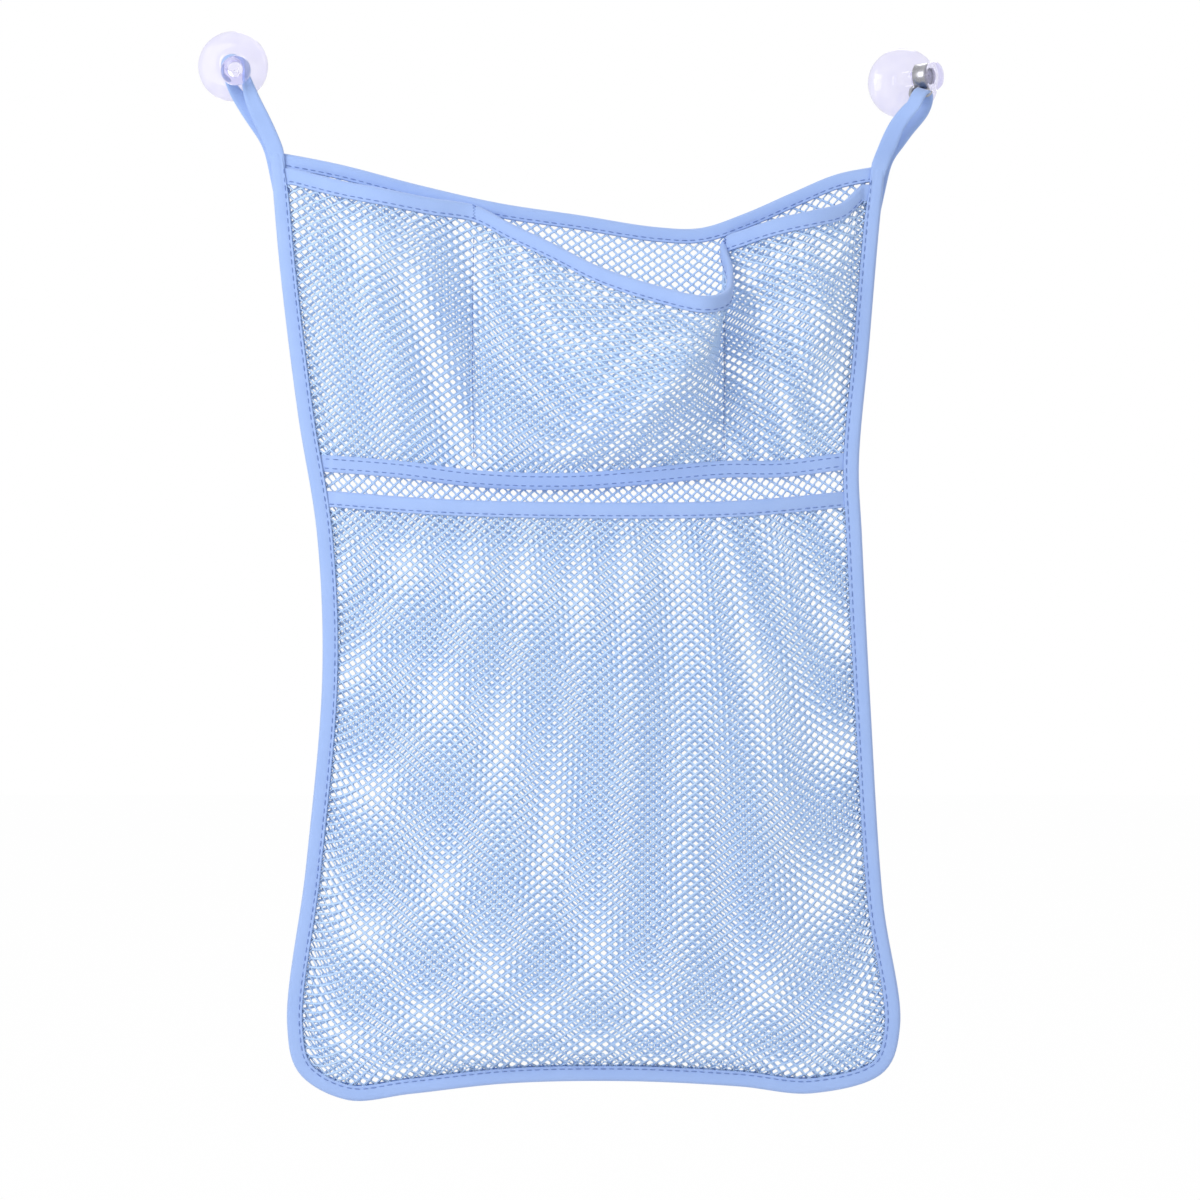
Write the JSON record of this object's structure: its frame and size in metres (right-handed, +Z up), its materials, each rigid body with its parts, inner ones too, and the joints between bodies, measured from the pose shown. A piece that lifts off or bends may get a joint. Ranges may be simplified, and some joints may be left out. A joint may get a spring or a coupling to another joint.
{
  "type": "bath toy organizer",
  "caption": "Hanging net bag for bath toys: small pockets over a deep lower pocket, bound in tape, hung by tape loops from suction cups, with a small steel hook.",
  "frame": {"origin": "on the wall plane, midway between the two suction cups", "axes": "+Z up, +X to the right seen from the front, +Y into the wall, so the pockets face -Y"},
  "size_m": [0.3707, 0.0582, 0.5336],
  "materials": {
    "vinyl": "clear soft vinyl, glossy",
    "steel": "bright plated steel",
    "tape": "pale blue woven polyester tape",
    "net": "pale blue knitted polyester net"
  },
  "bodies": {
    "hangers": {"left_cup": "vinyl", "right_cup": "vinyl", "left_loop": "tape", "right_loop": "tape"},
    "hook": {"steel_hook": "steel"},
    "bag": {"left_loop_tail": "tape", "right_loop_tail": "tape", "back_panel": "net", "upper_pocket_panel": "net", "lower_pocket_panel": "net", "edge_binding": "tape", "top_binding": "tape", "upper_pocket_lip": "tape", "upper_pocket_base_tape": "tape", "lower_pocket_lip": "tape"}
  },
  "joints": [
    {"name": "hook_swivel", "type": "hinge", "parent": "hangers", "child": "hook", "pos_m": [0.16991, -0.01304, -0.00425], "axis": [0.8674, -0.4976, 0], "range_deg": [-8, 8]},
    {"name": "bag_swing", "type": "hinge", "parent": "hangers", "child": "bag", "pos_m": [0.005, -0.0074, -0.0412], "axis": [-0.9997, 0, 0.0245], "range_deg": [0, 75]}
  ]
}
